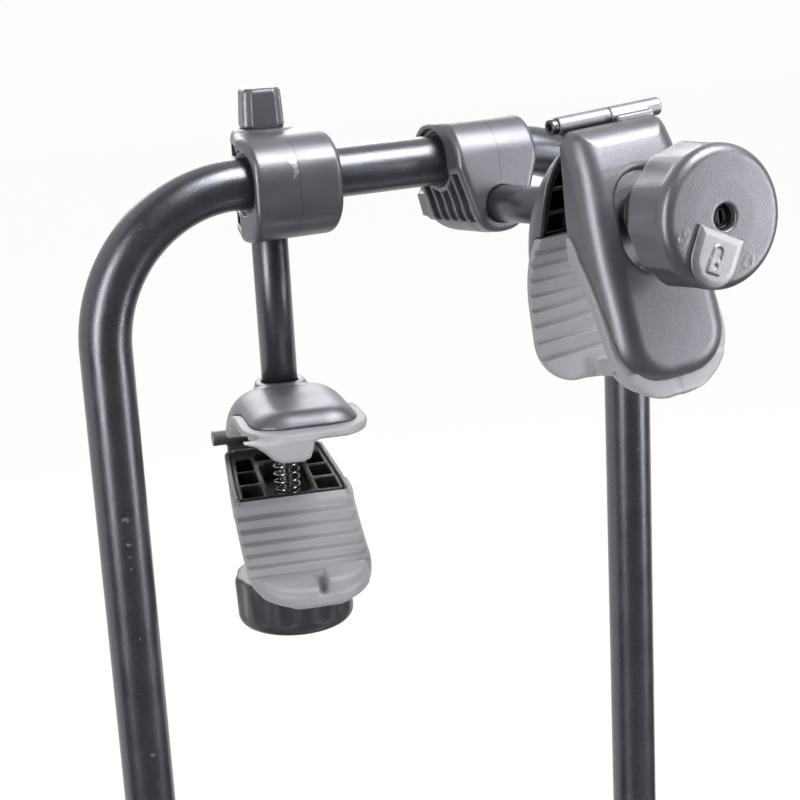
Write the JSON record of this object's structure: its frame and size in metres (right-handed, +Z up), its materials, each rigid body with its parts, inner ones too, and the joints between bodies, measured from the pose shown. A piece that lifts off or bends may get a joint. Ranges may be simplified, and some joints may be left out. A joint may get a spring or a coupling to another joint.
{
  "type": "hitch bike carrier",
  "caption": "Tow-ball bicycle carrier with a tilting platform, wheel rails, a folding U-shaped frame, and swivelling clamp arms with turn knobs and a lock",
  "frame": {"origin": "centre of the tow ball, where the coupling grips it", "axes": "+Z up, +Y towards the vehicle, +X to the right seen from behind"},
  "size_m": [1.1784, 0.6222, 0.8372],
  "materials": {
    "frame_tube": "charcoal powder coat with a fine metallic speckle",
    "sleeve_plastic": "black slide bush",
    "grey_plastic": "satin moulded plastic with a fine grain",
    "arm_tube": "charcoal powder coat with a fine metallic speckle",
    "black_plastic": "black glass-filled plastic",
    "pad_rubber": "soft light grey rubber",
    "hinge_steel": "zinc-plated steel",
    "spring_steel": "bright spring wire",
    "fold_knob": "black plastic hand knob on a steel pin",
    "platform_steel": "black powder coat",
    "lamp_lens": "red lens",
    "dark_knob": "dark grey satin plastic",
    "grey_knob": "mid grey satin plastic",
    "lock_core": "dark lock core",
    "housing_steel": "black powder coat",
    "jaw_steel": "zinc-plated steel",
    "lever_paint": "red paint",
    "rail_aluminium": "satin anodised aluminium",
    "cap_plastic": "black moulded plastic",
    "strap_plastic": "black ratchet strap"
  },
  "bodies": {
    "coupling": {"coupling_housing": "housing_steel", "lever_pin": "jaw_steel", "tilt_pin": "jaw_steel"},
    "ball_jaw": {"coupling_jaw": "jaw_steel"},
    "lever": {"clamp_lever": "lever_paint"},
    "platform": {"main_beam": "platform_steel", "front_cross_tube": "platform_steel", "rear_cross_tube": "platform_steel", "left_side_tube": "platform_steel", "right_side_tube": "platform_steel", "left_fold_bracket": "platform_steel", "right_fold_bracket": "platform_steel", "front_rail": "rail_aluminium", "rear_rail": "rail_aluminium", "front_rail_caps": "cap_plastic", "rear_rail_caps": "cap_plastic", "front_wheel_straps": "strap_plastic", "rear_wheel_straps": "strap_plastic", "lamp_board": "cap_plastic", "left_lamp": "lamp_lens", "right_lamp": "lamp_lens"},
    "left_pin": {"left_fold_pin": "fold_knob"},
    "right_pin": {"right_fold_pin": "fold_knob"},
    "frame": {"u_frame": "frame_tube"},
    "left_slider": {"left_sleeve": "sleeve_plastic"},
    "left_holder": {"left_collar": "grey_plastic", "left_collar_cap": "grey_plastic"},
    "left_clamp": {"left_arm": "arm_tube", "left_rear_shell": "grey_plastic", "left_rear_body": "black_plastic", "left_rear_pad": "pad_rubber", "left_rear_knuckle": "hinge_steel", "left_hinge_screw": "hinge_steel", "left_spring": "spring_steel"},
    "left_jaw": {"left_front_cover": "grey_plastic", "left_front_body": "black_plastic", "left_front_pad": "pad_rubber", "left_front_knuckle": "hinge_steel"},
    "left_pressure": {"left_washer": "black_plastic"},
    "left_grip": {"left_knob": "dark_knob", "left_rod": "hinge_steel"},
    "right_slider": {"right_sleeve": "sleeve_plastic"},
    "right_holder": {"right_collar": "grey_plastic", "right_collar_cap": "grey_plastic"},
    "right_clamp": {"right_arm": "arm_tube", "right_rear_shell": "grey_plastic", "right_rear_body": "black_plastic", "right_rear_pad": "pad_rubber", "right_rear_knuckle": "hinge_steel", "right_hinge_screw": "hinge_steel", "right_spring": "spring_steel"},
    "right_jaw": {"right_front_cover": "grey_plastic", "right_front_body": "black_plastic", "right_front_pad": "pad_rubber", "right_front_knuckle": "hinge_steel"},
    "right_pressure": {"right_washer": "black_plastic"},
    "right_grip": {"right_knob": "grey_knob", "right_rod": "hinge_steel"},
    "lock_plug": {"right_lock_cylinder": "lock_core"},
    "lock_shield": {"right_lock_cover": "grey_knob"}
  },
  "joints": [
    {"name": "lever_lift", "type": "hinge", "parent": "coupling", "child": "lever", "pos_m": [0, 0.03, 0.056], "axis": [-1, 0, 0], "range_deg": [0, 100]},
    {"name": "jaw_slide", "type": "slide", "parent": "coupling", "child": "ball_jaw", "axis": [0, 1, 0], "range_m": [0, 0.006]},
    {"name": "platform_tilt", "type": "hinge", "parent": "coupling", "child": "platform", "pos_m": [0, -0.07, 0.01], "axis": [1, 0, 0], "range_deg": [0, 35]},
    {"name": "frame_fold", "type": "hinge", "parent": "platform", "child": "frame", "pos_m": [0, -0.13, 0.092], "axis": [1, 0, 0], "range_deg": [0, 60]},
    {"name": "left_pin_turn", "type": "hinge", "parent": "platform", "child": "left_pin", "pos_m": [-0.178, -0.13, 0.092], "axis": [-1, 0, 0], "continuous": true},
    {"name": "right_pin_turn", "type": "hinge", "parent": "platform", "child": "right_pin", "pos_m": [0.178, -0.13, 0.092], "axis": [1, 0, 0], "continuous": true},
    {"name": "left_holder_slide", "type": "slide", "parent": "frame", "child": "left_slider", "axis": [1, 0, 0], "range_m": [-0.004, 0.025]},
    {"name": "left_holder_turn", "type": "hinge", "parent": "left_slider", "child": "left_holder", "pos_m": [-0.061, -0.13, 0.74], "axis": [1, 0, 0], "range_deg": [-120, 90]},
    {"name": "left_clamp_swivel", "type": "hinge", "parent": "left_holder", "child": "left_clamp", "pos_m": [-0.061, -0.102, 0.6125], "axis": [0, 0, 1], "range_deg": [-45, 120]},
    {"name": "left_jaw_open", "type": "hinge", "parent": "left_clamp", "child": "left_jaw", "pos_m": [-0.04933, -0.05338, 0.5665], "axis": [0.9724, -0.2334, 0], "range_deg": [-20, 6]},
    {"name": "left_pressure_slide", "type": "slide", "parent": "left_clamp", "child": "left_pressure", "axis": [0, 0, -1], "range_m": [-0.0231, 0.0072], "deforming": ["left_spring"]},
    {"name": "left_knob_turn", "type": "hinge", "parent": "left_pressure", "child": "left_grip", "pos_m": [-0.061, -0.102, 0.6125], "axis": [0, 0, -1], "continuous": true},
    {"name": "right_holder_slide", "type": "slide", "parent": "frame", "child": "right_slider", "axis": [1, 0, 0], "range_m": [-0.025, 0.001]},
    {"name": "right_holder_turn", "type": "hinge", "parent": "right_slider", "child": "right_holder", "pos_m": [0.064, -0.13, 0.74], "axis": [1, 0, 0], "range_deg": [-80, 95]},
    {"name": "right_clamp_swivel", "type": "hinge", "parent": "right_holder", "child": "right_clamp", "pos_m": [0.064, -0.23388, 0.72009], "axis": [0, 0.9969, -0.0785], "range_deg": [-90, 90]},
    {"name": "right_jaw_open", "type": "hinge", "parent": "right_clamp", "child": "right_jaw", "pos_m": [0.06025, -0.27583, 0.7734], "axis": [-0.9972, -0.0059, -0.0747], "range_deg": [-10, 16]},
    {"name": "right_pressure_slide", "type": "slide", "parent": "right_clamp", "child": "right_pressure", "axis": [0, -0.9969, 0.0785], "range_m": [-0.0117, 0.0186]},
    {"name": "right_knob_turn", "type": "hinge", "parent": "right_pressure", "child": "right_grip", "pos_m": [0.064, -0.23388, 0.72009], "axis": [0, -0.9969, 0.0785], "continuous": true},
    {"name": "lock_turn", "type": "hinge", "parent": "right_grip", "child": "lock_plug", "pos_m": [0.064, -0.23388, 0.72009], "axis": [0, -0.9969, 0.0785], "range_deg": [0, 90]},
    {"name": "shield_slide", "type": "slide", "parent": "right_grip", "child": "lock_shield", "axis": [0.4019, 0.0718, 0.9128], "range_m": [0, 0.014]}
  ],
  "couplings": [
    {"joint": "jaw_slide", "follows": "lever_lift", "m_per_rad": 0.0034},
    {"joint": "left_pressure_slide", "follows": "left_jaw_open", "m_per_rad": 0.065},
    {"joint": "right_pressure_slide", "follows": "right_jaw_open", "m_per_rad": 0.065}
  ]
}
